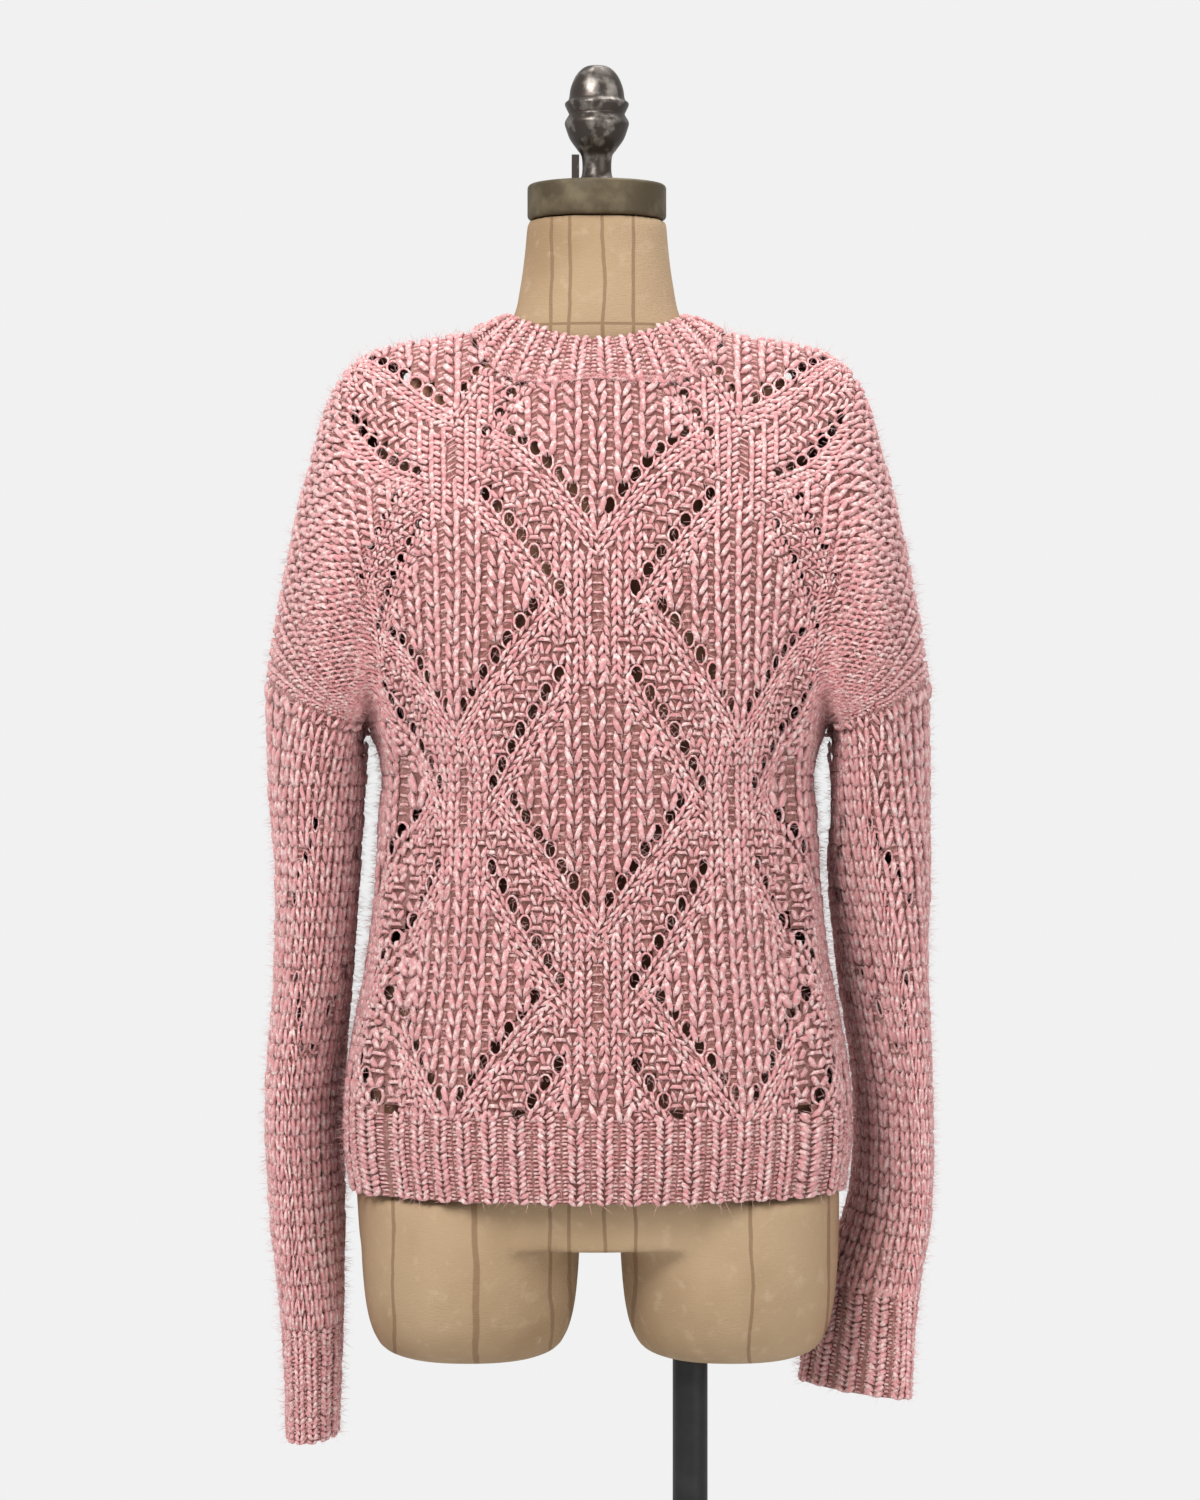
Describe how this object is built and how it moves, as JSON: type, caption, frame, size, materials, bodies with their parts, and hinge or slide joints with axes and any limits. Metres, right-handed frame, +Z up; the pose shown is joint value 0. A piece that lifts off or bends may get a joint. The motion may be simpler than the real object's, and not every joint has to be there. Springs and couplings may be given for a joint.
{
  "type": "sweater on dress form",
  "caption": "Oversized openwork rib-knit pullover with dropped shoulders, worn on a limbless linen dress form with a pole and a round base.",
  "frame": {"origin": "middle of the underside of the part's box, on the floor under the base", "axes": "+Z up, the front of the garment faces -Y, +X to the viewer's right"},
  "size_m": [0.486, 0.4, 1.5593],
  "materials": {
    "knit": "brushed pink and cream marled yarn with a fine metallic thread",
    "linen": "old natural linen with darker seams",
    "bronze": "dull olive bronze",
    "iron": "aged iron with worn bright rings",
    "black_metal": "satin black"
  },
  "bodies": {
    "root": {"front": "knit", "back": "knit", "sleeve_right_front": "knit", "sleeve_right_back": "knit", "sleeve_left_front": "knit", "sleeve_left_back": "knit", "hem_front": "knit", "hem_back": "knit", "cuff_right": "knit", "cuff_left": "knit", "neckband": "knit", "form": "linen", "neck_cap": "bronze", "neck_finial": "iron", "finial_catch": "iron", "pole": "black_metal", "pole_socket": "black_metal", "base": "black_metal"}
  },
  "joints": []
}
